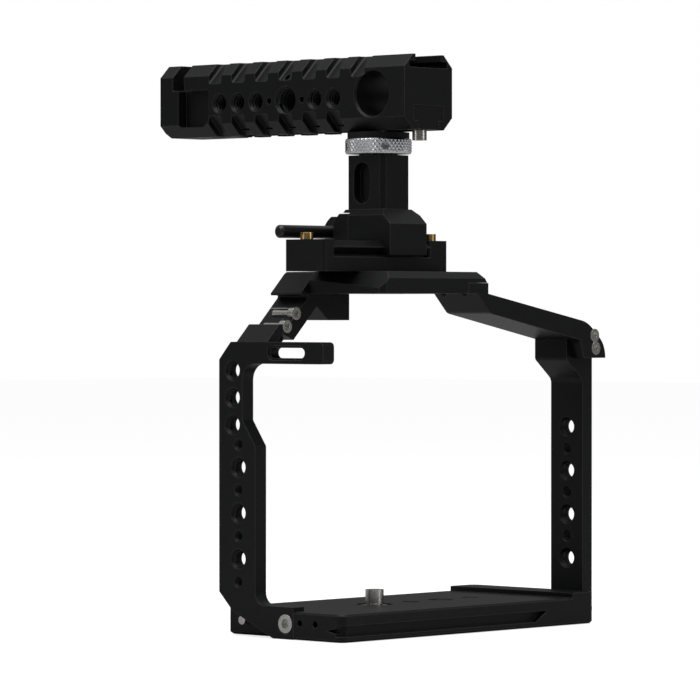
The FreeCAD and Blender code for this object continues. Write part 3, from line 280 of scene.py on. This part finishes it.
def hole_cutter(centre, radius):
    """The pin holes that a spanner turns the ring by, as one mesh."""
    work = bmesh.new()
    for i in range(RING_HOLES):
        turn = math.radians(RING_HOLE_TURN + 360 / RING_HOLES * i)
        way = Vector((math.cos(turn), math.sin(turn), 0))
        length = radius * RING_HOLE_PAST_RIM - RING_HOLE_FLOOR
        place = Matrix.Translation(centre + way * (RING_HOLE_FLOOR + length / 2))
        aim = way.to_track_quat("Z", "Y").to_matrix().to_4x4()
        bmesh.ops.create_cone(work, cap_ends=True, segments=RING_HOLE_SIDES, radius1=RING_HOLE_R,
                              radius2=RING_HOLE_R, depth=length, matrix=place @ aim)
    mesh = bpy.data.meshes.new("ring_holes")
    work.to_mesh(mesh)
    work.free()
    cutter = bpy.data.objects.new("ring_holes", mesh)
    bpy.context.scene.collection.objects.link(cutter)
    return cutter


def make_ring():
    mesh, centre, radius = ring_mesh()
    ring = bpy.data.objects.new("knurled_ring", mesh)
    bpy.context.scene.collection.objects.link(ring)
    cutter = hole_cutter(centre, radius)
    cut = ring.modifiers.new("holes", "BOOLEAN")
    cut.operation = "DIFFERENCE"
    cut.object = cutter
    bpy.context.view_layer.update()
    solid = bpy.data.meshes.new_from_object(ring.evaluated_get(bpy.context.evaluated_depsgraph_get()))
    bpy.data.objects.remove(ring)
    bpy.data.objects.remove(cutter)
    solid.materials.clear()
    piece = new_object("knurled_lock_ring", solid, MATERIALS["knurled"], BODY_OF["lock_ring"])
    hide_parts("lock_ring")


# Threads


def thread_mesh(name, centre, axis, radius, length, pitch):
    """One helical ridge on the wall of a hole."""
    depth = pitch * THREAD_DEPTH_SHARE
    side = Vector(axis).orthogonal().normalized()
    other = Vector(axis).cross(side)
    root = radius + THREAD_SINK
    crest = radius - depth
    half = pitch * THREAD_HALF_SHARE
    turns = (length - pitch) / pitch
    steps = max(2, int(turns * THREAD_STEPS))
    points = []
    for i in range(steps + 1):
        turn = 2 * math.pi * turns * i / steps
        along = -(length - pitch) / 2 + (length - pitch) * i / steps
        way = side * math.cos(turn) + other * math.sin(turn)
        for r, shift in ((root, -half), (crest, 0), (root, half)):
            points.append(Vector(centre) + way * r + Vector(axis) * (along + shift))
    faces = [(0, 1, 2), (3 * steps + 2, 3 * steps + 1, 3 * steps)]
    for i in range(steps):
        for a in range(3):
            b = (a + 1) % 3
            faces.append((3 * i + a, 3 * i + 3 + a, 3 * i + 3 + b, 3 * i + b))
    return mesh_from(name, points, faces)


def make_threads():
    """A thread in each threaded hole that the record lists."""
    for mount in frame["record"]["mounts"]:
        if mount["kind"] != "threaded_hole":
            continue
        radius = mount["dims"]["r_mm"]
        length = mount["dims"]["length_mm"] * MM
        axis = Vector(mount["axis"])
        centre = Vector(mount["pos_m"])
        if mount["name"].startswith("tripod"):
            centre = centre - axis * length / 2
        body = "handle" if mount["name"].startswith("handle") else "cage"
        mesh = thread_mesh(mount["name"], centre, axis, radius * MM, length, PITCH_BY_RADIUS[radius])
        new_object("turns_" + mount["name"], mesh, MATERIALS["black_anodised"], body)


# Camera, floor and light


def make_camera():
    camera = bpy.data.cameras.new("camera")
    camera.sensor_width = SENSOR_WIDTH
    camera.lens = FOCAL_PIXELS / IMAGE_WIDTH * SENSOR_WIDTH
    camera.clip_end = VIEW_REACH
    holder = bpy.data.objects.new("camera", camera)
    holder.location = CAMERA_PLACE
    holder.rotation_euler = (math.radians(90 + CAMERA_PITCH), 0, math.radians(-CAMERA_YAW))
    bpy.context.scene.collection.objects.link(holder)
    bpy.context.scene.camera = holder


def make_floor():
    corners = [(FLOOR_HALF * x, FLOOR_HALF * y, 0) for x, y in ((-1, -1), (1, -1), (1, 1), (-1, 1))]
    mesh = mesh_from("floor", corners, [(0, 1, 2, 3)])
    floor = bpy.data.objects.new("floor", mesh)
    floor.location.z = -FLOOR_DROP
    bpy.context.scene.collection.objects.link(floor)
    nodes = Nodes("pale_floor")
    output = nodes.add("OutputMaterial")
    both = nodes.add("AddShader")
    paint = nodes.add("BsdfDiffuse")
    paint.inputs["Color"].default_value = (FLOOR_PAINT, FLOOR_PAINT, FLOOR_PAINT, 1)
    glow = nodes.add("Emission")
    path = nodes.add("LightPath")
    nodes.link(path, "Is Camera Ray", glow, "Strength")
    glow.inputs["Color"].default_value = (FLOOR_GLOW, FLOOR_GLOW, FLOOR_GLOW, 1)
    nodes.link(paint, "BSDF", both, 0)
    nodes.link(glow, "Emission", both, 1)
    nodes.link(both, "Shader", output, "Surface")
    floor.data.materials.append(nodes.material)


def make_world():
    """White to the eye, and a soft dome that is brighter overhead to everything else."""
    world = bpy.data.worlds.new("studio")
    world.use_nodes = True
    tree = world.node_tree
    tree.nodes.clear()
    output = tree.nodes.new("ShaderNodeOutputWorld")
    mixed = tree.nodes.new("ShaderNodeMixShader")
    place = tree.nodes.new("ShaderNodeTexCoord")
    parts = tree.nodes.new("ShaderNodeSeparateXYZ")
    rise = tree.nodes.new("ShaderNodeMapRange")
    rise.inputs["To Min"].default_value = HORIZON_LIGHT
    rise.inputs["To Max"].default_value = ZENITH_LIGHT
    soft = tree.nodes.new("ShaderNodeBackground")
    white = tree.nodes.new("ShaderNodeBackground")
    white.inputs["Color"].default_value = (1, 1, 1, 1)
    path = tree.nodes.new("ShaderNodeLightPath")
    tree.links.new(place.outputs["Generated"], parts.inputs[0])
    tree.links.new(parts.outputs["Z"], rise.inputs["Value"])
    tree.links.new(rise.outputs[0], soft.inputs["Strength"])
    tree.links.new(path.outputs["Is Camera Ray"], mixed.inputs[0])
    tree.links.new(soft.outputs[0], mixed.inputs[1])
    tree.links.new(white.outputs[0], mixed.inputs[2])
    tree.links.new(mixed.outputs[0], output.inputs["Surface"])
    bpy.context.scene.world = world


def make_light(name, place, width, height, power):
    lamp = bpy.data.lights.new(name, "AREA")
    lamp.shape = "RECTANGLE"
    lamp.size = width
    lamp.size_y = height
    lamp.energy = power
    holder = bpy.data.objects.new(name, lamp)
    holder.location = place
    aim = Vector(LIGHT_TARGET) - Vector(place)
    holder.rotation_mode = "QUATERNION"
    holder.rotation_quaternion = aim.to_track_quat("-Z", "Y")
    bpy.context.scene.collection.objects.link(holder)


make_camera()
finish_frame()
make_ring()
make_threads()
make_floor()
make_world()
for light in LIGHTS:
    make_light(*light)
bpy.context.scene.view_settings.view_transform = "Standard"
